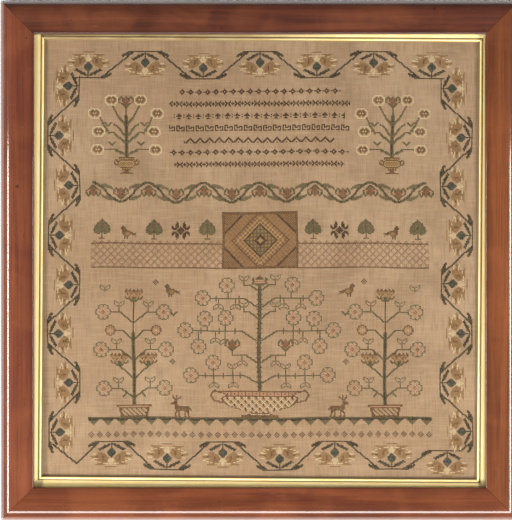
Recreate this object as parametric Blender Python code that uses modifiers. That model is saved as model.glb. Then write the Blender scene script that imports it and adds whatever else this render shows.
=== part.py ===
"""A framed cross stitch sampler, lying on its back.

Four mitred lengths of mahogany moulding make the outer frame. A rebate in their backs holds,
from the front, a mitred gilt slip, the sampler's linen cloth and a plain wooden backboard.

The origin is the middle of the frame's back plane. +Z points out of the sampler's face, and +Y
towards its top edge. All sizes are in metres.
"""

import math

import bmesh
import bpy
from mathutils import Matrix

# The frame, over its outer edges and front to back
FRAME_WIDTH = 0.600
FRAME_HEIGHT = 0.602
FRAME_DEPTH = 0.025
RAIL_WIDTH = 0.040

# The moulding's section: a half-round cushion, a swell past its crest, a hollow and an arris
CUSHION_RADIUS = 0.0155
SWELL_RADIUS = 0.035
SWELL_ANGLE = 12.0
HOLLOW_END_ANGLE = 2.0
ARRIS_RADIUS = 0.0020
REBATE_WIDTH = 0.0095
REBATE_DEPTH = 0.0135

# The gilt slip's section, from its hidden outer edge inwards: fillet, groove, bead and inner edge
FILLET_WIDTH = 0.0085
FILLET_HEIGHT = 0.0039
FILLET_FALL = 0.0010
GROOVE_WIDTH = 0.0010
GROOVE_DEPTH = 0.0008
BEAD_RADIUS = 0.0015
BEAD_HEIGHT = 0.0037
INNER_EDGE_WIDTH = 0.0013
INNER_EDGE_HEIGHT = 0.0004
SLIP_WIDTH = FILLET_WIDTH + GROOVE_WIDTH + 2 * BEAD_RADIUS + INNER_EDGE_WIDTH

# The slip was cut a little small, and lies turned and shifted in its rebate
FILLET_LINE_WIDTH = 0.51225
FILLET_LINE_HEIGHT = 0.51480
SLIP_TURN = -0.40
SLIP_SHIFT_X = 0.0011
SLIP_SHIFT_Y = 0.0018

# The flat pieces, which lie loose in the rebate
CLOTH_THICKNESS = 0.0012
BACKBOARD_THICKNESS = 0.0050
BACKBOARD_ARRIS = 0.0010
SIDE_CLEARANCE = 0.0010

# Pieces that touch are this far apart
TOUCH_GAP = 0.0003

SLIP_BASE = REBATE_DEPTH - TOUCH_GAP - FILLET_HEIGHT
CLOTH_TOP = SLIP_BASE - TOUCH_GAP
BACKBOARD_TOP = CLOTH_TOP - CLOTH_THICKNESS - TOUCH_GAP
REBATE_OPENING_WIDTH = FRAME_WIDTH - 2 * (RAIL_WIDTH - REBATE_WIDTH)
REBATE_OPENING_HEIGHT = FRAME_HEIGHT - 2 * (RAIL_WIDTH - REBATE_WIDTH)

# The four sides, each with the turn that carries the bottom one to its place
SIDES = {"bottom": 0, "right": 90, "top": 180, "left": 270}

# Carries an outline's across, height and run to the bottom side's Y, Z and X
LAY_ALONG_X = Matrix(((0, 0, 1, 0), (1, 0, 0, 0), (0, 1, 0, 0), (0, 0, 0, 1)))


def clear_scene():
    for existing in list(bpy.data.objects):
        bpy.data.objects.remove(existing, do_unlink=True)


def new_collection(name):
    collection = bpy.data.collections.new(name)
    bpy.context.scene.collection.children.link(collection)
    return collection


def surface(name, colour, roughness, metallic=0.0):
    material = bpy.data.materials.new(name)
    material.use_nodes = True
    shader = material.node_tree.nodes["Principled BSDF"]
    shader.inputs["Base Color"].default_value = (*colour, 1.0)
    shader.inputs["Roughness"].default_value = roughness
    shader.inputs["Metallic"].default_value = metallic
    return material


def mahogany():
    return surface("mahogany", (0.25, 0.085, 0.035), 0.28)


def gilding():
    return surface("gilding", (0.80, 0.58, 0.24), 0.35, metallic=0.9)


def linen():
    return surface("linen", (0.40, 0.27, 0.16), 0.95)


def pine():
    return surface("pine", (0.42, 0.27, 0.14), 0.80)


def arc(centre, radius, start, end, steps):
    """Points along an arc, by its angles in degrees, with both ends."""
    points = []
    for step in range(steps + 1):
        angle = math.radians(start + (end - start) * step / steps)
        points.append((centre[0] + radius * math.cos(angle), centre[1] + radius * math.sin(angle)))
    return points


def rail_outline():
    """The moulding's section, as (distance in from the outer edge, height) pairs."""
    crest = (CUSHION_RADIUS, FRAME_DEPTH - CUSHION_RADIUS)
    cushion = arc(crest, CUSHION_RADIUS, 180, 90, 12)
    swell_centre = (CUSHION_RADIUS, FRAME_DEPTH - SWELL_RADIUS)
    swell = arc(swell_centre, SWELL_RADIUS, 90, 90 - SWELL_ANGLE, 3)

    # The hollow leaves the swell at its slope, and meets the arris nearly level
    arris_across = RAIL_WIDTH - ARRIS_RADIUS
    hollow_start = swell[-1]
    level = math.radians(HOLLOW_END_ANGLE)
    slope = math.radians(SWELL_ANGLE)
    hollow_end_across = arris_across + ARRIS_RADIUS * math.sin(level)
    hollow_radius = (hollow_end_across - hollow_start[0]) / (math.sin(slope) - math.sin(level))
    hollow_centre = (
        hollow_start[0] + hollow_radius * math.sin(slope),
        hollow_start[1] + hollow_radius * math.cos(slope),
    )
    hollow = arc(hollow_centre, hollow_radius, 270 - SWELL_ANGLE, 270 - HOLLOW_END_ANGLE, 5)

    arris_centre = (arris_across, hollow[-1][1] - ARRIS_RADIUS * math.cos(level))
    arris = arc(arris_centre, ARRIS_RADIUS, 90 - HOLLOW_END_ANGLE, 0, 5)

    rebate_wall = RAIL_WIDTH - REBATE_WIDTH
    rebate = [(RAIL_WIDTH, REBATE_DEPTH), (rebate_wall, REBATE_DEPTH), (rebate_wall, 0.0)]
    return [(0.0, 0.0)] + cushion + swell[1:] + hollow[1:] + arris[1:] + rebate


def slip_outline():
    """The slip's section, as (distance in from the outer edge, height) pairs."""
    fillet_end = FILLET_HEIGHT - FILLET_FALL
    groove_floor = fillet_end - GROOVE_DEPTH
    groove = [
        (FILLET_WIDTH, fillet_end),
        (FILLET_WIDTH + 0.3 * GROOVE_WIDTH, groove_floor),
        (FILLET_WIDTH + 0.7 * GROOVE_WIDTH, groove_floor),
    ]
    bead_start = FILLET_WIDTH + GROOVE_WIDTH
    bead_centre = (bead_start + BEAD_RADIUS, BEAD_HEIGHT - BEAD_RADIUS)
    bead = arc(bead_centre, BEAD_RADIUS, 175, 5, 8)
    inner_edge = [(SLIP_WIDTH, INNER_EDGE_HEIGHT), (SLIP_WIDTH, 0.0)]
    return [(0.0, 0.0), (0.0, FILLET_HEIGHT)] + groove + bead + inner_edge


def moulding_mesh(name, outline, length):
    """A straight length of moulding along X, with its outer edge on Y = 0 and its back at Z = 0."""
    curve = bpy.data.curves.new(name, "CURVE")
    curve.dimensions = "2D"
    curve.fill_mode = "BOTH"
    curve.extrude = length / 2
    spline = curve.splines.new("POLY")
    spline.points.add(len(outline) - 1)
    for point, (across, height) in zip(spline.points, outline):
        point.co = (across, height, 0.0, 1.0)
    spline.use_cyclic_u = True

    drawn = bpy.data.objects.new(name, curve)
    bpy.context.scene.collection.objects.link(drawn)
    bpy.context.view_layer.update()
    evaluated = drawn.evaluated_get(bpy.context.evaluated_depsgraph_get())
    mesh = bpy.data.meshes.new_from_object(evaluated)
    bpy.data.objects.remove(drawn, do_unlink=True)
    mesh.transform(LAY_ALONG_X)
    return mesh


def cut_mitres(mesh, length):
    """Saws both ends at 45 degrees, each back by half the gap that the joint keeps."""
    shaped = bmesh.new()
    shaped.from_mesh(mesh)
    bmesh.ops.remove_doubles(shaped, verts=shaped.verts, dist=1e-6)
    setback = TOUCH_GAP / math.sqrt(2)
    for end in (-1, 1):
        bmesh.ops.bisect_plane(
            shaped,
            geom=shaped.verts[:] + shaped.edges[:] + shaped.faces[:],
            dist=1e-7,
            plane_co=(end * (length / 2 - setback), 0.0, 0.0),
            plane_no=(end, 1.0, 0.0),
            clear_outer=True,
        )
        rim = [edge for edge in shaped.edges if edge.is_boundary]
        bmesh.ops.contextual_create(shaped, geom=rim)
    bmesh.ops.recalc_face_normals(shaped, faces=shaped.faces)
    shaped.to_mesh(mesh)
    shaped.free()


def mitred_frame(prefix, outline, width, height, base, material, collection):
    """Four mitred lengths around a rectangle of this outer size, their backs at height base."""
    pieces = []
    for side, turn in SIDES.items():
        name = f"{prefix}_{side}"
        upright = side in ("left", "right")
        length = height if upright else width
        offset = (width if upright else height) / 2
        mesh = moulding_mesh(name, outline, 1.1 * length)
        cut_mitres(mesh, length)
        mesh.transform(Matrix.Translation((0.0, -offset, base)))
        mesh.shade_smooth()
        mesh.set_sharp_from_angle(angle=math.radians(25))
        mesh.materials.append(material)
        piece = bpy.data.objects.new(name, mesh)
        piece.rotation_euler.z = math.radians(turn)
        collection.objects.link(piece)
        pieces.append(piece)
    return pieces


def build_rails(collection):
    mitred_frame(
        "rail", rail_outline(), FRAME_WIDTH, FRAME_HEIGHT, 0.0, mahogany(), collection
    )


def build_slips(collection):
    """The gilt inner frame, whose lengths hang from one empty that turns and shifts them."""
    lengths = mitred_frame(
        "slip",
        slip_outline(),
        FILLET_LINE_WIDTH + 2 * FILLET_WIDTH,
        FILLET_LINE_HEIGHT + 2 * FILLET_WIDTH,
        SLIP_BASE,
        gilding(),
        collection,
    )
    lie = bpy.data.objects.new("slip_lie", None)
    lie.location = (SLIP_SHIFT_X, SLIP_SHIFT_Y, 0.0)
    lie.rotation_euler.z = math.radians(SLIP_TURN)
    collection.objects.link(lie)
    for length in lengths:
        length.parent = lie


def flat_panel(name, thickness, top, material, collection):
    """A sheet that fills the rebate but for its side clearance, with its top face at this height."""
    bpy.ops.mesh.primitive_plane_add(size=1.0, location=(0.0, 0.0, top))
    panel = bpy.context.object
    panel.name = name
    width = REBATE_OPENING_WIDTH - 2 * SIDE_CLEARANCE
    height = REBATE_OPENING_HEIGHT - 2 * SIDE_CLEARANCE
    panel.data.transform(Matrix.Diagonal((width, height, 1.0, 1.0)))
    panel.data.materials.append(material)
    solid = panel.modifiers.new("thickness", "SOLIDIFY")
    solid.thickness = thickness
    solid.offset = -1.0
    for owner in list(panel.users_collection):
        owner.objects.unlink(panel)
    collection.objects.link(panel)
    return panel


def build_cloth(collection):
    flat_panel("sampler_cloth", CLOTH_THICKNESS, CLOTH_TOP, linen(), collection)


def build_backboard(collection):
    board = flat_panel("backboard", BACKBOARD_THICKNESS, BACKBOARD_TOP, pine(), collection)
    eased = board.modifiers.new("eased edges", "BEVEL")
    eased.width = BACKBOARD_ARRIS
    eased.segments = 1


def main():
    clear_scene()
    parts = new_collection("framed_cross_stitch_sampler")
    build_rails(parts)
    build_slips(parts)
    build_cloth(parts)
    build_backboard(parts)


main()
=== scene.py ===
"""A framed cross stitch sampler lying on its back: mahogany cushion frame, gilt slip, linen, backboard.

Metres throughout. X runs along the bottom rail, Y up the picture and Z out of its face.
"""

import math

import bpy
import numpy as np
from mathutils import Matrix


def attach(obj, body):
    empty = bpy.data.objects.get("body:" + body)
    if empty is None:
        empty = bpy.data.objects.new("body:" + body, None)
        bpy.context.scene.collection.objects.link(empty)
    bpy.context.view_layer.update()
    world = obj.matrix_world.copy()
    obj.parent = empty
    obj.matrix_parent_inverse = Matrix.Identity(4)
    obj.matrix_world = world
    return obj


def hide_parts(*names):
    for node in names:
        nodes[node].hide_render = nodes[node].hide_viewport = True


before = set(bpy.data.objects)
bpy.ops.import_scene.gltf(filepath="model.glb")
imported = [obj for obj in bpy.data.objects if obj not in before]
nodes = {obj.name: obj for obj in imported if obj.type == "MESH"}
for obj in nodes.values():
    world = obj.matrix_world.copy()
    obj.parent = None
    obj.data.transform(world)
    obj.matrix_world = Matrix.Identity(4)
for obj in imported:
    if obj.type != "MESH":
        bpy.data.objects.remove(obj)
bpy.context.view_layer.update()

# The camera hangs straight over the sampler, 1.9 m above its linen, as on a copy stand.
# It stands 4 mm to the left of the middle, so the right rail's outer edge is just out of view.
camera_data = bpy.data.cameras.new("copy_stand_camera")
camera_data.sensor_fit = "HORIZONTAL"
camera_data.sensor_width = 36
camera_data.lens = 36 * 1.9 / 0.5931
camera_data.clip_start = 0.1
camera_data.clip_end = 30
camera = bpy.data.objects.new("copy_stand_camera", camera_data)
camera.location = (-0.0042, -0.0010, 1.9095)
bpy.context.scene.collection.objects.link(camera)
bpy.context.scene.camera = camera
bpy.context.scene.view_settings.view_transform = "Standard"

# The sampler lies on a plain white table top, larger than any view of it takes in.
# The surface stops a hair below the frame's back, with a soft rolled edge.
bpy.ops.object.select_all(action="DESELECT")
bpy.ops.mesh.primitive_cube_add(size=1, location=(0, 0, -0.021), scale=(9, 9, 0.04))
table_top = bpy.context.active_object
table_top.name = "table_top"
bpy.ops.object.transform_apply(location=True, rotation=True, scale=True)
bpy.ops.object.mode_set(mode="EDIT")
bpy.ops.mesh.select_all(action="SELECT")
bpy.ops.mesh.bevel(offset=0.015, segments=4)
bpy.ops.object.mode_set(mode="OBJECT")
white_paint = bpy.data.materials.new("white_paint")
white_paint.use_nodes = True
white_paint.node_tree.nodes["Principled BSDF"].inputs["Base Color"].default_value = (0.86, 0.86, 0.85, 1)
white_paint.node_tree.nodes["Principled BSDF"].inputs["Roughness"].default_value = 0.7
table_top.data.materials.append(white_paint)

# Two long soft boxes stand low at the left and right, which draw one streak down each side rail.
# A wide box hangs high over the foot of the table, and the room's own light fills the rest.
for name, place, turn, size, power, colour in (
    ("left_soft_box", (-1.55, -0.85, 1.15), (0, -53, 0), (0.25, 2.2), 66, (1, 0.965, 0.93)),
    ("right_soft_box", (1.45, -0.85, 1.45), (0, 45, 0), (0.34, 2.2), 62, (1, 0.965, 0.93)),
    ("foot_soft_box", (0, -1.5, 1.5), (45, 0, 0), (1.8, 0.5), 48, (1, 0.97, 0.94)),
):
    light_data = bpy.data.lights.new(name, "AREA")
    light_data.shape = "RECTANGLE"
    light_data.size, light_data.size_y = size
    light_data.energy = power
    light_data.color = colour
    light = bpy.data.objects.new(name, light_data)
    light.location = place
    light.rotation_euler = [math.radians(angle) for angle in turn]
    bpy.context.scene.collection.objects.link(light)
room = bpy.data.worlds.new("studio_room")
room.use_nodes = True
room.node_tree.nodes["Background"].inputs["Color"].default_value = (0.93, 0.95, 1, 1)
room.node_tree.nodes["Background"].inputs["Strength"].default_value = 0.14
bpy.context.scene.world = room


# The backboard is a thin pine panel, cut to drop into the rebate behind the linen.
# It is old bare softwood, darkened by air and dust, with its grain running up the picture.
class Socket:
    """An output in a finish's node tree: sums on it add Math nodes, and node() adds any other."""

    def __init__(self, tree, output=None):
        self.tree = tree
        self.output = output

    def node(self, kind, settings=None, sockets=None, out=0):
        made = self.tree.nodes.new("ShaderNode" + kind)
        for name, value in (settings or {}).items():
            if name == "stops":
                ramp = made.color_ramp.elements
                while len(ramp) < len(value):
                    ramp.new(0.5)
                for stop, (position, level) in zip(ramp, value):
                    stop.position = position
                    stop.color = (level, level, level, 1)
            else:
                setattr(made, name, value)
        for key, value in (sockets or {}).items():
            if isinstance(value, Socket):
                self.tree.links.new(value.output, made.inputs[key])
            else:
                made.inputs[key].default_value = value
        return Socket(self.tree, made.outputs[out])

    def maths(self, operation, other=0.0, third=0.0, clamp=False):
        values = {0: self, 1: other, 2: third}
        return self.node("Math", {"operation": operation, "use_clamp": clamp}, values)

    def __add__(self, other):
        return self.maths("ADD", other)

    def __sub__(self, other):
        return self.maths("SUBTRACT", other)

    def __mul__(self, other):
        return self.maths("MULTIPLY", other)

    def __rsub__(self, other):
        return self.maths("MULTIPLY_ADD", -1.0, other)

    __radd__ = __add__
    __rmul__ = __mul__

    def between(self, low, high):
        """0 below low and 1 above high, with a soft step."""
        settings = {"interpolation_type": "SMOOTHSTEP"}
        return self.node("MapRange", settings, {"Value": self, "From Min": low, "From Max": high})

    def blend(self, first, second, kind="MIX"):
        """The two colours, mixed by this value."""
        settings = {"data_type": "RGBA", "blend_type": kind}
        return self.node("Mix", settings, {0: self, 6: first, 7: second}, out=2)

    def noise(self, where, scale, detail=2.0, roughness=0.5, distortion=0.0):
        values = {"Vector": where, "Scale": scale, "Detail": detail, "Roughness": roughness}
        values["Distortion"] = distortion
        return self.node("TexNoise", None, values)

    def stretched(self, where, scale, turn=0.0, place=(0, 0, 0)):
        values = {"Vector": where, "Scale": scale, "Rotation": (0, 0, turn), "Location": place}
        return self.node("Mapping", None, values)

    def bump(self, height, distance, strength=1.0, under=None):
        values = {"Height": height, "Distance": distance, "Strength": strength}
        if under:
            values["Normal"] = under
        return self.node("Bump", None, values)

    def to(self, name):
        self.tree.links.new(self.output, self.tree.nodes["Principled BSDF"].inputs[name])


def new_finish(name, **levels):
    """An empty finish, with the shader's own sockets set, as the start of its node tree."""
    material = bpy.data.materials.new(name)
    material.use_nodes = True
    shader = material.node_tree.nodes["Principled BSDF"]
    for level, value in levels.items():
        shader.inputs[level.replace("_", " ")].default_value = value
    return material, Socket(material.node_tree)


def rgb(red, green, blue, share=0.53):
    """A colour as a screen shows it, as the share of this strong light that it reflects."""
    screen = [value / 255 for value in (red, green, blue)]
    return (*(share * (v / 12.92 if v <= 0.04045 else ((v + 0.055) / 1.055) ** 2.4) for v in screen), 1)


old_pine, start = new_finish("old_pine", Roughness=0.75, Specular_IOR_Level=0.3)
spot = start.node("TexCoord", None, None, out=3)
grain = start.noise(start.stretched(spot, (90, 3, 20)), 1.0, 6, 0.6, 0.6)
rings = start.node(
    "TexWave",
    {"wave_type": "BANDS", "bands_direction": "X"},
    {"Vector": start.stretched(spot, (1, 0.06, 0.4)), "Scale": 22, "Distortion": 5, "Detail": 3},
    out=1,
)
dirt = start.noise(spot, 9, 5, 0.7)
wood = rings.blend(rgb(176, 134, 88), rgb(132, 92, 56))
wood = grain.between(0.35, 0.75).blend(wood, rgb(150, 108, 68))
wood = dirt.between(0.42, 0.72).blend(wood, rgb(96, 72, 50))
wood.to("Base Color")
start.bump(grain + rings * 0.5, 0.0004, 0.6).to("Normal")
nodes["backboard"].data.materials.clear()
nodes["backboard"].data.materials.append(old_pine)

# The linen is one plain-woven sheet, 537 by 539 mm, with 36 threads to the inch each way.
# It is laid over the backboard and held round its edges by the slip; the stitching has puckered
# it a little, so that it neither lies quite flat nor runs quite true.
LINEN_WIDTH = 0.537
LINEN_LENGTH = 0.539
LINEN_THREAD = 0.0007
LINEN_BODY = 0.0005
LINEN_FACE = 0.00868
LINEN_SQUARES = 150
# The slack ends at the slip's inner edge, and starts to show this far inside it
SLIP_LINE = 0.252
SLACK_MARGIN = 0.03


def linen_waver(x, y):
    """How far the threads through a place have been drawn out of true."""
    across = 0.0007 * np.sin(y * 27 + 1.1 + 0.8 * np.sin(x * 9)) + 0.0003 * np.sin(y * 71 + x * 13)
    along = 0.0006 * np.sin(x * 23 - 0.7 + 0.9 * np.sin(y * 11)) + 0.0003 * np.sin(x * 63 - y * 17)
    return across, along


def linen_top(x, y):
    """The height of the linen's face above the table."""
    pucker = np.sin(x * 155 + 2 * np.sin(y * 31)) * np.sin(y * 97 + 1.3 * np.sin(x * 23))
    slack = np.sin(x * 29 + y * 19 + 0.6) + 0.6 * np.sin(y * 41 - x * 13)
    pull = np.sin(x * 330 + 3 * np.sin(y * 60)) * np.sin(y * 290 + 2 * np.sin(x * 45))
    free = np.clip((SLIP_LINE - np.maximum(abs(x), abs(y))) / SLACK_MARGIN, 0, 1)
    return LINEN_FACE + free * (0.00009 * pucker + 0.00010 * slack + 0.00005 * pull)


bpy.ops.object.select_all(action="DESELECT")
bpy.ops.mesh.primitive_grid_add(x_subdivisions=LINEN_SQUARES, y_subdivisions=LINEN_SQUARES, size=1)
linen = bpy.context.active_object
linen.name = "linen_ground"
linen.scale = (LINEN_WIDTH, LINEN_LENGTH, 1)
bpy.ops.object.transform_apply(location=False, rotation=False, scale=True)
spots = np.zeros(len(linen.data.vertices) * 3)
linen.data.vertices.foreach_get("co", spots)
spots = spots.reshape(-1, 3)
spots[:, 2] = linen_top(spots[:, 0], spots[:, 1])
linen.data.vertices.foreach_set("co", spots.ravel())
threads = linen.data.attributes.new("threads", "FLOAT_VECTOR", "POINT")
drawn = linen_waver(spots[:, 0], spots[:, 1])
run = np.stack([spots[:, 0] - drawn[0], spots[:, 1] - drawn[1], np.zeros(len(spots))], axis=1)
threads.data.foreach_set("vector", run.ravel())
bpy.ops.object.shade_smooth()
body = linen.modifiers.new("body", "SOLIDIFY")
body.thickness = LINEN_BODY
body.offset = -1
bpy.ops.object.modifier_apply(modifier="body")

linen_finish, start = new_finish("old_linen", Roughness=0.88, Specular_IOR_Level=0.22)
spot = start.node("TexCoord", None, None, out=3)
thread = start.node("Attribute", {"attribute_name": "threads"}, None, out=1)
warp = start.node("SeparateXYZ", None, {0: thread}, out=0)
weft = start.node("SeparateXYZ", None, {0: thread}, out=1)
over = (warp * (math.pi / LINEN_THREAD)).maths("COSINE")
under = (weft * (math.pi / LINEN_THREAD)).maths("COSINE")
weave = (over * under).maths("ABSOLUTE").maths("POWER", 0.5)
up_slubs = start.noise(start.stretched(thread, (620, 34, 1)), 1.0, 3, 0.65)
cross_slubs = start.noise(start.stretched(thread, (30, 560, 1), 0, (7, 3, 0)), 1.0, 3, 0.65)
fine = start.noise(start.stretched(thread, (900, 900, 1)), 1.0, 2, 0.6)
mottle = start.noise(spot, 16, 5, 0.62)
patches = start.noise(start.stretched(spot, (1, 1, 1), 0.4, (3, 1, 0)), 5, 4, 0.6, 0.4)
ground = patches.between(0.38, 0.64).blend(rgb(203, 172, 136), rgb(190, 156, 120))
ground = mottle.between(0.4, 0.7).blend(ground, rgb(176, 146, 112))
ground = (up_slubs.between(0.42, 0.72) * 0.55).blend(ground, rgb(150, 122, 92))
ground = (cross_slubs.between(0.45, 0.75) * 0.4).blend(ground, rgb(222, 196, 160))
ground = (fine.between(0.45, 0.8) * 0.35).blend(ground, rgb(140, 110, 82))
# The gaps between the threads are darkened with painted shade.
ground = ((1 - weave) * 0.55).blend(ground, rgb(96, 72, 50))
ground.to("Base Color")
start.bump(weave * 0.7 + up_slubs * 0.5 + cross_slubs * 0.5, 0.00025, 0.8).to("Normal")
linen.data.materials.append(linen_finish)
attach(linen, "root")
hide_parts("sampler_cloth")

# The needlework is cross stitch over two threads, 18 stitches to the inch, in fine wools of eleven
# colours that have faded. A vine with flowers runs round the edge. Inside it are bands of
# pattern, potted plants, a chain of tulips, a carpet on a lattice, an urn and three trees.
STITCH = 2 * LINEN_THREAD
stitches = {}


def chart(rows, mirrored=False):
    """Stitches typed in rows, the bottom row last. A mirrored chart is typed from its middle out."""
    cells = {}
    for up, line in enumerate(reversed(rows.split())):
        for across, wool in enumerate(line):
            if wool != ".":
                cells[across, up] = wool
                if mirrored:
                    cells[-across, up] = wool
    return cells


def work(cells, column, row, flip=1):
    for (across, up), wool in cells.items():
        stitches[column + flip * across, row + up] = wool


def both(cells, column, row):
    """The motif on the right, and its mirror image on the left."""
    work(cells, column, row)
    work(cells, -column, row, flip=-1)


def upside_down(cells):
    return {(across, -up): wool for (across, up), wool in cells.items()}


def stepped(points):
    """The stitches of a line through these places, with one at the corner of each step."""
    last = None
    for (x0, y0), (x1, y1) in zip(points, points[1:]):
        count = max(abs(x1 - x0), abs(y1 - y0), 1)
        for step in range(count + 1):
            x = round(x0 + (x1 - x0) * step / count)
            y = round(y0 + (y1 - y0) * step / count)
            if last and last[0] != x and last[1] != y:
                yield x, last[1]
            yield x, y
            last = x, y


def branch(points, wool="o", middle=0, sides=(-1, 1)):
    """A stem worked alike on each side of a tree's middle column."""
    for side in sides:
        for x, y in stepped(points):
            stitches[middle + side * x, y] = wool


# The border's vine steps in and out in flats joined by slants. Each flat carries a flower, and a
# leaf where it bends.
FLOWER = chart("""
    bbbbb.............
    ..................
    c....bbbbbbbbb....
    cc.ccccbbbbb......
    cc..bbbbbcc.......
    ccc.bnbbbbbbcc....
    cccbbbnnbbbbbbccc.
    cc.bbbbnbbb.cccc..
    t..bbbnnbbbbbbbbb.
    tt..bbbnbbbbnnbbbb
    ttt..bbbbbbbb.....
    tttt..bbbbbb.ccc..
    tttt....bbbb......
    tttt..............
    ttt......gg.......
    tt.....ggggg......
    t....ggggg........
    g..ggggg..........
    g.ggggg...........
    gggg..............
    g.................
""", mirrored=True)
LEAF = chart("""
    ........gg
    ....gggggg
    ..ggggggg.
    .gggggg...
    ggggg.....
""")


def vine(quarter_turns, flats):
    """One side of the border. A flat is its middle, its height, half its length and its two leaves."""

    def put(along, out, wool):
        for _ in range(quarter_turns):
            along, out = -out, along
        stitches[along, out] = wool

    line = []
    for middle, height, half, before, after in flats:
        line += [(middle - half, height), (middle + half, height)]
    for along, out in stepped(line):
        put(along, out, "g")
    for middle, height, half, before, after in flats:
        inwards = -1 if height > 162 else 1
        for (across, up), wool in FLOWER.items():
            put(middle + across, height + inwards * (up + 1), wool)
        for side in (-1,) * before + (1,) * after:
            for (across, up), wool in LEAF.items():
                put(middle + side * (half + across), height + inwards * up, wool)


def flats(count, first, pitch, heights, half):
    return [[round(first + pitch * k), heights[k % 2], half, 1, 1] for k in range(count)]


top = flats(7, -142, 47.3, (151, 173), 10)
top[0][3] = top[-1][4] = 0
left = flats(8, -142, 40.8, (175, 149), 8)
left[-1][4] = 0
bottom = flats(7, -155, 46.4, (150, 173), 10)
bottom[0][1:4] = 157, 12, 0
right = flats(8, -143, 40.6, (150, 176), 8)
right[0][3] = 0
for quarter_turns, side in enumerate((top, left, bottom, right)):
    vine(quarter_turns, side)
for corner in (
    ((-149, 136), (-149, 151), (-132, 151)),
    ((150, 136), (150, 151), (132, 151)),
    ((-175, -150), (-152, -168), (-134, -150)),
    ((176, -149), (167, -157)),
):
    for x, y in stepped(corner):
        stitches[x, y] = "g"

# Seven rows of band pattern at the head of the field, in dark brown.
BANDS = [
    (chart(rows), len(rows.split()[0]))
    for rows in (
        "..k.... .kkk... kk.kk.k .kkk... ..k....",
        "k...k... kk.kk.k. .kkk.kkk kk.kk.k. k...k...",
        "..k..... .kkk..k. kkkkk... ..k...k. .kkk....",
        "kkk..... k.k.kkk. k.kkk.k. k.....k. kkk.kkk.",
        "...k.... ..kkk... .kk.kk.. kk...kk. k..k..kk",
    )
]
for line, (half, which) in enumerate(((66, 0), (74, 1), (70, 2), (74, 3), (62, 4), (74, 0), (70, 1))):
    pattern, period = BANDS[which]
    for column in range(-half, half + 1):
        for up in range(5):
            wool = pattern.get(((column + period // 2) % period, up))
            if wool:
                stitches[column, 138 - 10 * line + up] = wool

# A handled vase with a round-flowered plant stands at each end of the bands.
ROUND = chart("""
    cccc..
    c..cc.
    .nn.cc
    nbnn.c
    bcbn.c
    nbnn.c
    .nn.cc
    c..cc.
    cccc..
""", mirrored=True)
TULIP = chart("""
    r...o..
    rr.ooo.
    rroo.oo
    rroopso
    rrroppo
    rnrppoo
    nrroo..
    rroo...
    ooo....
    oo.....
""", mirrored=True)
SPRIG = chart("""
    oo...oo
    .oo.oo.
    ..ooo..
    ...o...
""")
VASE = chart("""
    nnnnnnn....
    .yryryn....
    nnnnnn..nn.
    yyyyyynnn.n
    ryryryyn..n
    yryryryn.nn
    ryryryynnn.
    yyyyyyn....
    nnnnnn.....
    yryry......
    nnnn.......
    nn.........
    nnn........
    nnnnnn.....
""", mirrored=True)
both(VASE, 110, 72)
for middle in (-110, 110):
    branch([(0, 86), (0, 128)], "g", middle)
    branch([(1, 86), (1, 120)], "o", middle)
    for foot, knee, tip in (
        ((1, 88), (9, 92), (19, 92)),
        ((1, 98), (10, 106), (19, 107)),
        ((14, 106), (20, 115), (22, 120)),
        ((1, 113), (7, 121), (11, 128)),
        ((1, 104), (6, 110), (10, 113)),
    ):
        branch([foot, knee, tip], "o", middle)
        branch([(foot[0], foot[1] - 1), (knee[0], knee[1] - 1)], "s", middle)
    for side in (-1, 1):
        for across, up in ((24, 88), (23, 103), (26, 118), (12, 129)):
            work(ROUND, middle + side * across, up)
        for across, up in ((9, 95), (12, 111)):
            work(SPRIG, middle + side * across, up, flip=side)
    work(TULIP, middle, 127)

# A wavy chain of tulips and leaves runs across under them.
def wave(column):
    return round(56 + 8 * math.cos(2 * math.pi * column / 46))


for column in range(-138, 139):
    low, high = sorted((wave(column), wave(column + 1)))
    for row in range(low, high + 2):
        stitches[column, row] = "o" if column % 4 else "g"
for turn in range(-6, 7):
    for side in (-1, 1):
        if turn * side == 6:
            continue
        leaf = LEAF if turn % 2 else upside_down(LEAF)
        leaf = {place: "s" for place in leaf}
        work(leaf, 23 * turn + side * 7, 50 if turn % 2 else 63, flip=side)
    if turn % 2:
        work(TULIP, 23 * turn, 51)
        branch([(0, 49), (0, 50)], "o", 23 * turn)
    else:
        work(upside_down(TULIP), 23 * turn, 62)

# A band of lattice crosses the middle, under a row of small trees, stars and birds. A carpet with
# a stepped medallion hangs over the middle of it.
TREELET = chart("""
    o......
    oo.....
    oso....
    ossoo..
    oosoo..
    ossoso.
    oossooo
    oososso
    osssooo
    ososssoo
    oosooso
    ooossoo
    o.ooo..
    n......
    n......
    n......
    nnn....
""", mirrored=True)
STAR = chart("""
    ...k....
    ..kk....
    ..kkk...
    ..kkk..k
    k.kkk.kk
    kk.kkkkk
    kkk.kkk.
    kkkk....
    kkk.kkk.
    kk.kkkkk
    k.kkk.kk
    ..kkk..k
    ..kkk...
    ..kk....
    ...k....
""", mirrored=True)
BIRD = chart("""
    ..........nn..
    .........nnnn.
    .........nnkny
    ........nnnn..
    .....nnnnnnn..
    ...nnnbbbnnn..
    nnnnnbbbbbnn..
    .nnn.nbbbnn...
    n.....nnnn....
    .......k.k....
    .......k.k....
""")
for column in range(-139, 140):
    for row in range(-6, 15):
        if (column + row) % 6 == 2 or (column - row) % 6 == 4:
            stitches[column, row] = "r"
    stitches[column, -6] = stitches[column, 14] = "n"
    if column % 6 < 3:
        stitches[column, 15 + column % 3 % 2] = "r"
for column, motif in ((131, TREELET), (88, TREELET), (66, STAR), (44, TREELET)):
    both(motif, column, 18)
both(BIRD, 103, 18)
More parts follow.
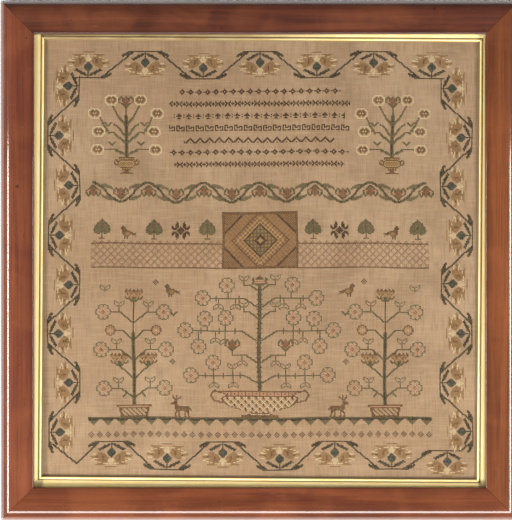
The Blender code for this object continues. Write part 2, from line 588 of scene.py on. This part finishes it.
for column in range(-31, 32):
    for row in range(-6, 41):
        x, y = abs(column), abs(row - 17)
        out = x + y
        if x > 29 or y > 21:
            wool = "n"
        elif out > 36:
            wool = "n" if out % 2 else "b"
        elif out > 34:
            wool = "k"
        elif out > 24:
            wool = "b" if (x - y) % 4 else "r"
        elif out > 22:
            wool = "n"
        elif out > 14:
            wool = "y" if (x // 2 + y // 2) % 2 else "r"
        elif out > 12:
            wool = "k"
        elif out > 5:
            wool = "b" if (x * y) % 3 else "o"
        else:
            wool = "k" if out > 2 else "y"
        stitches[column, row] = wool

# The foot of the field is a broad urn with a tree of rosettes, between two trees in tubs and a
# pair of stags.
ROSETTE = chart("""
    sss....
    o..ss..
    p...s..
    .p.ss..
    .pp..ss
    n.p...s
    yn.pp.s
    n.p...s
    .pp..ss
    .p.ss..
    p...s..
    o..ss..
    sss....
""", mirrored=True)
POSY = chart("""
    nn...
    .bnn.
    pb.n.
    yp.bn
    cypbn
    yp.bn
    pb.n.
    .bnn.
    nn...
""", mirrored=True)
BUD = chart("""
    ...ss
    .ss.s
    s...s
    r..s.
    rss..
    s....
""", mirrored=True)
CARNATION = chart("""
    n..n..n.
    nn.nn.nn
    nbnbbnbn
    bb.bb.bb
    .bnbbnb.
    b.bb.b..
    bb.bb..n
    oobbo.nn
    oo.oonn.
    oooo....
    ooo.....
""", mirrored=True)
CROWN = chart("""
    r.......
    rr......
    ooo..o..
    oooo.oo.
    pppp.oo.
    rprpro..
    pppppoo.
    ooooooo.
    oooo....
""", mirrored=True)
STAG = chart("""
    .............n..n..
    ..........n..n..n..
    ..........nn.n.nn..
    ............nnnn...
    .............nn....
    .............nnn...
    .............nknnn.
    .............nnnnn.
    ............nnn....
    ...nnnnnnnnnnnn....
    ..nnnnnnnnnnnnn....
    .nnnnbnnbnnbnnn....
    .n.nnnnnnnnnnn.....
    ...nnnn....nnn.....
    ...nn.n....n.nn....
    ...n..n....n..n....
    ...n..n....n..n....
    ..nn.nn...nn.nn....
""")
DIAMOND = chart("""
    ..k..
    .k.k.
    k.k.k
    .k.k.
    ..k..
""")
GROUND = -129
URN = (15, 15, 10, 7, 8, 12, 17, 21, 24, 26, 28, 29, 30, 31, 31, 32, 31, 29, 28, 30, 33, 34)
for up, half in enumerate(URN):
    for column in range(-half, half + 1):
        rising, falling = (column + up) % 6, (column - up) % 6
        if up in (0, 1, 3, 17, 21) or half - abs(column) < 2:
            wool = "n"
        elif up > 17:
            wool = "r" if column % 6 == 0 else "k" if column % 6 == 3 and up == 19 else "p"
        elif rising in (0, 1) and falling in (0, 5):
            wool = "k"
        elif rising == 3 or falling == 3:
            wool = "c"
        else:
            wool = "r" if rising == 0 else None
        if wool:
            stitches[column, GROUND + up] = wool
branch([(31, -117), (37, -116), (41, -111), (38, -107), (34, -109)], "n")
for row in range(-107, -20):
    for column in (-1, 0, 1):
        stitches[column, row] = "g" if (row + column) % 3 == 0 else "o"
    if row % 4 == 0:
        stitches[-2, row] = stitches[2, row] = "o"
both(CROWN, 0, -20)
for points in (
    ((2, -101), (12, -95), (50, -95)),
    ((2, -84), (10, -78), (22, -78), (22, -75)),
    ((2, -66), (14, -58), (54, -58)),
    ((2, -47), (8, -42), (13, -42), (13, -40)),
    ((2, -38), (12, -31), (41, -31)),
    ((2, -24), (7, -20), (13, -20), (13, -18)),
):
    branch(points)
for across, low, high in (
    (22, -99, -91), (38, -99, -90), (14, -81, -78), (28, -63, -53), (43, -58, -54), (50, -65, -58),
    (36, -62, -58), (26, -31, -26), (34, -34, -31), (20, -34, -31),
):
    branch([(across, low), (across, high)])
for across, up in ((57, -101), (38, -90), (61, -64), (28, -53), (45, -54), (50, -77), (47, -37), (27, -26)):
    both(ROSETTE, across, up)
for across, up in ((22, -90), (13, -39), (13, -17)):
    both(BUD, across, up)
for across, up in ((22, -100), (38, -100), (14, -82), (36, -63), (28, -64), (34, -35), (20, -35)):
    both(upside_down(BUD), across, up)
both(TULIP, 22, -74)
for across, up in ((16, -95), (30, -95), (45, -95), (20, -58), (33, -58), (48, -58), (17, -31), (36, -31)):
    branch([(across, up - 2), (across, up + 2)])

TUB = (11, 11, 11, 11, 12, 12, 12, 12, 14, 14)
for middle in (-104, 104):
    for up, half in enumerate(TUB):
        for column in range(-half, half + 1):
            if up in (0, 7, 9) or half - abs(column) < 2:
                wool = "n"
            elif up == 8:
                wool = "p"
            else:
                wool = {0: "k", 2: "y"}.get((column + up) % 4)
            if wool:
                stitches[middle + column, GROUND + up] = wool
    branch([(0, GROUND + 10), (0, -35)], "g", middle)
    branch([(1, GROUND + 10), (1, -60)], "o", middle)
    for points in (
        ((1, -113), (10, -106), (18, -106)),
        ((1, -97), (8, -90), (12, -88)),
        ((1, -82), (10, -74), (20, -74)),
        ((1, -65), (8, -58), (14, -58)),
        ((1, -51), (10, -43), (18, -43)),
        ((13, -106), (13, -103)),
        ((14, -74), (14, -71)),
        ((12, -43), (12, -40)),
        ((6, -110), (9, -113)),
        ((6, -78), (10, -80)),
    ):
        branch(points, "o", middle)
    for side in (-1, 1):
        for across, up in ((25, -112), (27, -80), (25, -49)):
            work(ROSETTE, middle + side * across, up)
        for across, up in ((13, -102), (14, -70), (12, -39)):
            work(BUD, middle + side * across, up)
        work(CARNATION, middle + side * 12, -87)
        work(POSY, middle + side * 19, -62)
    work(CARNATION, middle, -34)
both(STAG, 56, GROUND)
both(BIRD, 66, -30)
both(DIAMOND, 70, -86)
both(SPRIG, 68, -46)
both(DIAMOND, 84, -20)
both(BUD, 128, -26)

# They stand on a green sawtooth line, with one row of small dark diamonds below it.
for column in range(-142, 143):
    stitches[column, GROUND - 2] = "g"
    stitches[column, GROUND - 1] = "o"
    for up in range(max(0, 5 - abs(column % 12 - 6))):
        stitches[column, GROUND - 3 - up] = "s" if up else "g"
for step in range(-20, 21):
    work(DIAMOND, 7 * step - 2, GROUND - 17)

# Each stitch is two short legs of wool, the second crossing over the first. One leg is shaped,
# then laid again for every stitch of a colour, each a little off its place and its shade.
WOOLS = {
    "k": ("dark_brown_wool", rgb(64, 40, 20), rgb(86, 60, 34)),
    "g": ("bottle_green_wool", rgb(54, 50, 34), rgb(72, 66, 46)),
    "t": ("teal_wool", rgb(50, 64, 56), rgb(70, 80, 66)),
    "o": ("olive_wool", rgb(88, 84, 52), rgb(112, 102, 66)),
    "s": ("sage_wool", rgb(112, 102, 72), rgb(138, 124, 88)),
    "n": ("nut_brown_wool", rgb(106, 74, 44), rgb(136, 102, 64)),
    "b": ("buff_wool", rgb(154, 116, 74), rgb(184, 146, 98)),
    "y": ("straw_wool", rgb(186, 150, 96), rgb(206, 172, 118)),
    "c": ("cream_wool", rgb(226, 200, 152), rgb(238, 216, 172)),
    "r": ("rust_wool", rgb(136, 92, 62), rgb(166, 122, 86)),
    "p": ("rose_wool", rgb(200, 148, 112), rgb(212, 170, 134)),
}
# Half a leg's length, width and height, then each leg's lean, and how far its middle is lifted
LEG_SIZE = (0.00100, 0.00048, 0.00024)
LEGS = ((math.pi / 4, 0.00010), (-math.pi / 4, 0.00024))
# How far the hand strays: in place, in lean, in size and in shade
STRAY_PLACE = 0.00004
STRAY_LEAN = 0.06
STRAY_SIZE = 0.06
STRAY_SHADE = 0.24
bpy.ops.object.select_all(action="DESELECT")
bpy.ops.mesh.primitive_uv_sphere_add(segments=3, ring_count=3, radius=1)
leg = bpy.context.active_object
bpy.ops.object.mode_set(mode="EDIT")
bpy.ops.mesh.select_all(action="SELECT")
bpy.ops.mesh.quads_convert_to_tris()
bpy.ops.transform.rotate(value=math.pi / 2, orient_axis="Y", center_override=(0, 0, 0))
bpy.ops.transform.rotate(value=-math.pi / 2, orient_axis="X", center_override=(0, 0, 0))
bpy.ops.transform.resize(value=LEG_SIZE, center_override=(0, 0, 0))
bpy.ops.object.mode_set(mode="OBJECT")
leg_points = np.array([tuple(point.co) for point in leg.data.vertices])
leg_faces = np.array([tuple(face.vertices) for face in leg.data.polygons])
bpy.data.objects.remove(leg)
hand = np.random.default_rng(1842)
for letter, (name, dark, pale) in WOOLS.items():
    squares = np.array(sorted(place for place, wool in stitches.items() if wool == letter))
    count = len(squares)
    middles = squares * STITCH
    drawn = linen_waver(middles[:, 0], middles[:, 1])
    middles = middles + np.stack(drawn, axis=1) + hand.normal(0, STRAY_PLACE, (count, 2))
    shade = np.clip(0.5 + hand.normal(0, STRAY_SHADE, count), 0, 1)
    size = 1 + hand.normal(0, STRAY_SIZE, count)
    laid = []
    for lean, lift in LEGS:
        angle = lean + hand.normal(0, STRAY_LEAN, count)
        along = leg_points[None, :, 0] * size[:, None]
        beside = leg_points[None, :, 1] * size[:, None]
        x = middles[:, :1] + along * np.cos(angle)[:, None] - beside * np.sin(angle)[:, None]
        y = middles[:, 1:] + along * np.sin(angle)[:, None] + beside * np.cos(angle)[:, None]
        arch = lift * (1 - 0.55 * (leg_points[:, 0] / leg_points[:, 0].max()) ** 2)
        z = linen_top(x, y) + leg_points[None, :, 2] * size[:, None] + arch[None, :]
        laid.append(np.stack([x, y, z], axis=2))
    points = np.stack(laid, axis=1).reshape(-1, 3)
    starts = np.arange(count * 2) * len(leg_points)
    faces = (leg_faces[None, :, :] + starts[:, None, None]).reshape(-1)
    wool_mesh = bpy.data.meshes.new("stitches_in_" + name)
    wool_mesh.vertices.add(len(points))
    wool_mesh.vertices.foreach_set("co", points.ravel())
    wool_mesh.loops.add(len(faces))
    wool_mesh.loops.foreach_set("vertex_index", faces)
    wool_mesh.polygons.add(len(faces) // 3)
    wool_mesh.polygons.foreach_set("loop_start", np.arange(0, len(faces), 3))
    wool_mesh.polygons.foreach_set("use_smooth", np.ones(len(faces) // 3, bool))
    wool_mesh.update(calc_edges=True)
    shades = wool_mesh.attributes.new("shade", "FLOAT", "POINT")
    shades.data.foreach_set("value", np.repeat(shade, 2 * len(leg_points)))
    low, high = points[:, :2].min(axis=0), points[:, :2].max(axis=0)
    flat_map = wool_mesh.uv_layers.new(name="OFBake")
    flat_map.data.foreach_set("uv", ((points[:, :2] - low) / (high - low))[faces].ravel())
    needlework = bpy.data.objects.new("stitches_in_" + name, wool_mesh)
    bpy.context.scene.collection.objects.link(needlework)

    wool_finish, start = new_finish(name, Roughness=0.82, Specular_IOR_Level=0.2)
    spot = start.node("TexCoord", None, None, out=3)
    shade = start.node("Attribute", {"attribute_name": "shade"}, None, out=2)
    faded = start.noise(spot, 24, 4, 0.6)
    fibres = start.noise(start.stretched(spot, (2600, 2600, 2600)), 1.0, 2, 0.6)
    tone = (shade * 0.5 + faded.between(0.40, 0.70) * 0.45 + fibres * 0.2 - 0.15).maths("MAXIMUM", 0.0)
    tone.maths("MINIMUM", 1.0).blend(dark, pale).to("Base Color")
    start.bump(fibres, 0.00006, 0.7).to("Normal")
    wool_mesh.materials.append(wool_finish)
    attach(needlework, "root")

# The slip is four mitred lengths of small gilt moulding between the linen and the rails. Its leaf
# has worn in rubbed patches, the bead among them, and painted shade darkens its groove, inner edge, outer
# part and the top length.
SIDES = {"bottom": 0, "right": 90, "top": 180, "left": 270}
SLIP_TURN = math.radians(-0.40)
SLIP_SHIFT = (0.0011, 0.0018)
# Half the slip's outer size each way, and what lies where across its face, from the outer edge in
SLIP_REACH = {"bottom": 0.2659, "right": 0.264625, "top": 0.2659, "left": 0.264625}
FILLET_END = 0.0085
BEAD_START = 0.0095
BEAD_END = 0.0125
# How much painted shade darkens each length, at its one end and its other, as seen turned to the bottom
SLIP_FILLET_SHADE = {"bottom": (0.0, 0.0), "right": (0.0, 0.1), "top": (0.0, 0.85), "left": (0.0, 0.05)}


def moulding_copy(node, name):
    """A length of moulding with its facets joined up, so that its curves shade as one surface."""
    bpy.ops.object.select_all(action="DESELECT")
    length = bpy.data.objects.new(name, nodes[node].data.copy())
    bpy.context.scene.collection.objects.link(length)
    bpy.context.view_layer.objects.active = length
    length.select_set(True)
    bpy.ops.object.mode_set(mode="EDIT")
    bpy.ops.mesh.select_all(action="SELECT")
    bpy.ops.mesh.remove_doubles(threshold=0.00001)
    bpy.ops.mesh.dissolve_limited(angle_limit=0.0005)
    bpy.ops.mesh.normals_make_consistent(inside=False)
    bpy.ops.object.mode_set(mode="OBJECT")
    if length.data.has_custom_normals:
        bpy.ops.mesh.customdata_custom_splitnormals_clear()
    bpy.ops.object.shade_smooth_by_angle(angle=math.radians(28))
    length.data.materials.clear()
    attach(length, "root")
    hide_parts(node)
    return length


def laid_to_bottom(start, side, reach, turn=0.0, shift=(0, 0)):
    """Places on one side's length as if it were the bottom one: how far along, and how far in."""
    spot = start.node("TexCoord", None, None, out=3)
    angle = -math.radians(SIDES[side]) - turn
    back_x = -(shift[0] * math.cos(angle) - shift[1] * math.sin(angle))
    back_y = -(shift[0] * math.sin(angle) + shift[1] * math.cos(angle)) + reach
    place = start.stretched(spot, (1, 1, 1), angle, (back_x, back_y, 0))
    along = start.node("SeparateXYZ", None, {0: place})
    inwards = start.node("SeparateXYZ", None, {0: place}, out=1)
    return spot, place, along, inwards


for side in SIDES:
    slip = moulding_copy(f"slip_{side}", f"{side}_slip")
    gilt, start = new_finish(f"old_gilding_{side}", Coat_Weight=0.15, Coat_Roughness=0.3)
    spot, place, along, inwards = laid_to_bottom(start, side, SLIP_REACH[side], SLIP_TURN, SLIP_SHIFT)
    cloud = start.noise(start.stretched(place, (26, 140, 1)), 1.0, 4, 0.65)
    speck = start.noise(place, 900, 3, 0.7)
    rub = start.noise(start.stretched(place, (60, 300, 60)), 1.0, 5, 0.75)
    # Painted shade: the groove, the inner edge and the outer part under the rails' lip are darkened, and
    # each length by its own share along it, most on the top one.
    groove = inwards.between(FILLET_END - 0.0003, FILLET_END + 0.0001)
    groove = groove * (1 - inwards.between(BEAD_START - 0.0001, BEAD_START + 0.0004))
    edge = inwards.between(BEAD_END - 0.0003, BEAD_END + 0.0001)
    outer = 1 - inwards.between(0.0046, 0.0062)
    dull_left, dull_right = SLIP_FILLET_SHADE[side]
    dull = along.between(-0.20, 0.06) * (dull_right - dull_left) + dull_left
    painted_shade = (groove * 0.85).maths("MAXIMUM", edge * 0.9).maths("MAXIMUM", outer * 0.45)
    painted_shade = painted_shade.maths("MAXIMUM", dull * (0.75 + cloud * 0.5)).maths("MINIMUM", 1.0)
    worn = rub.between(0.60, 0.72) * (1 - groove) * 0.6
    leaf = cloud.between(0.35, 0.7).blend(rgb(255, 236, 172, 1), rgb(250, 218, 140, 1))
    leaf = worn.blend(leaf, rgb(190, 122, 70, 0.8))
    leaf = painted_shade.blend(leaf, rgb(120, 92, 56))
    (speck.between(0.66, 0.74) * 0.7).blend(leaf, rgb(84, 60, 36)).to("Base Color")
    ((1 - worn) * (1 - painted_shade) * 0.38).to("Metallic")
    (0.34 + painted_shade * 0.4 + worn * 0.3 + cloud * 0.1).to("Roughness")
    start.bump(rub + cloud, 0.00015, 0.5).to("Normal")
    slip.data.materials.append(gilt)

# The frame is four lengths of solid mahogany cushion moulding, mitred and glued, French polished,
# with knocks and fine scratches in its polish. The top rail is painted darker than the rest, as painted
# shade.
RAIL_REACH = {"bottom": 0.301, "right": 0.300, "top": 0.301, "left": 0.300}
# The pale wood and dark figure, darker on the top rail as painted shade, and the strength of painted shade
# on each rail's edges
RAIL_WOOD_AND_SHADE = {
    "bottom": (rgb(134, 72, 42), rgb(104, 52, 30), 0.15),
    "right": (rgb(146, 84, 46), rgb(112, 60, 34), 0.25),
    "top": (rgb(112, 60, 41), rgb(82, 41, 28), 0.6),
    "left": (rgb(140, 76, 50), rgb(110, 56, 38), 0.4),
}
for side, (pale_wood, dark_wood, rim_shade) in RAIL_WOOD_AND_SHADE.items():
    rail = moulding_copy(f"rail_{side}", f"{side}_rail")
    polish, start = new_finish(
        f"polished_mahogany_{side}", Coat_Weight=1.0, Coat_Roughness=0.09, Specular_IOR_Level=0.1
    )
    spot, place, along, inwards = laid_to_bottom(start, side, RAIL_REACH[side])
    offset = start.stretched(place, (1, 1, 1), 0, (SIDES[side] * 0.037, SIDES[side] * 0.011, 0.3))
    figure = start.noise(start.stretched(offset, (3.2, 62, 62)), 1.0, 6, 0.62, 0.5)
    streak = start.noise(start.stretched(offset, (9, 420, 420)), 1.0, 4, 0.6)
    pores = start.noise(start.stretched(offset, (140, 2300, 2300)), 1.0, 2, 0.5)
    ribbon = start.noise(start.stretched(offset, (16, 12, 12)), 1.0, 3, 0.5, 0.8)
    wood = figure.between(0.34, 0.66).blend(pale_wood, dark_wood)
    wood = (streak.between(0.45, 0.75) * 0.55).blend(wood, rgb(78, 38, 24))
    wood = (ribbon.between(0.4, 0.7) * 0.22).blend(wood, rgb(176, 104, 62))
    wood = (pores.between(0.60, 0.74) * 0.5).blend(wood, rgb(52, 24, 16))
    # Painted shade darkens each rail's rolled outer edge and the slope down to its sight edge.
    shaded_rims = (1 - inwards.between(0.0012, 0.0070)).maths("MAXIMUM", inwards.between(0.0335, 0.0385))
    wood = (shaded_rims * rim_shade).blend(wood, rgb(62, 28, 22))
    scratch = start.noise(start.stretched(spot, (46, 1900, 40), 0.5), 1.0, 2, 0.5)
    where = start.noise(spot, 14, 2, 0.5)
    scratch = scratch.between(0.70, 0.73) * where.between(0.55, 0.62)
    wood = (scratch * 0.5).blend(wood, rgb(190, 140, 104))
    knock = start.noise(spot, 95, 2, 0.5).between(0.745, 0.775)
    wood = (knock * 0.8).blend(wood, rgb(50, 26, 18))
    wood.to("Base Color")
    (0.34 + streak * 0.12 + scratch * 0.3).to("Roughness")
    swell = start.noise(start.stretched(offset, (30, 30, 30)), 1.0, 2, 0.5)
    waves = start.bump(swell, 0.0010, 0.25)
    start.bump(pores * -0.2 + streak * 0.4 - scratch * 0.4 - knock, 0.00012, 0.7, waves).to("Normal")
    rail.data.materials.append(polish)
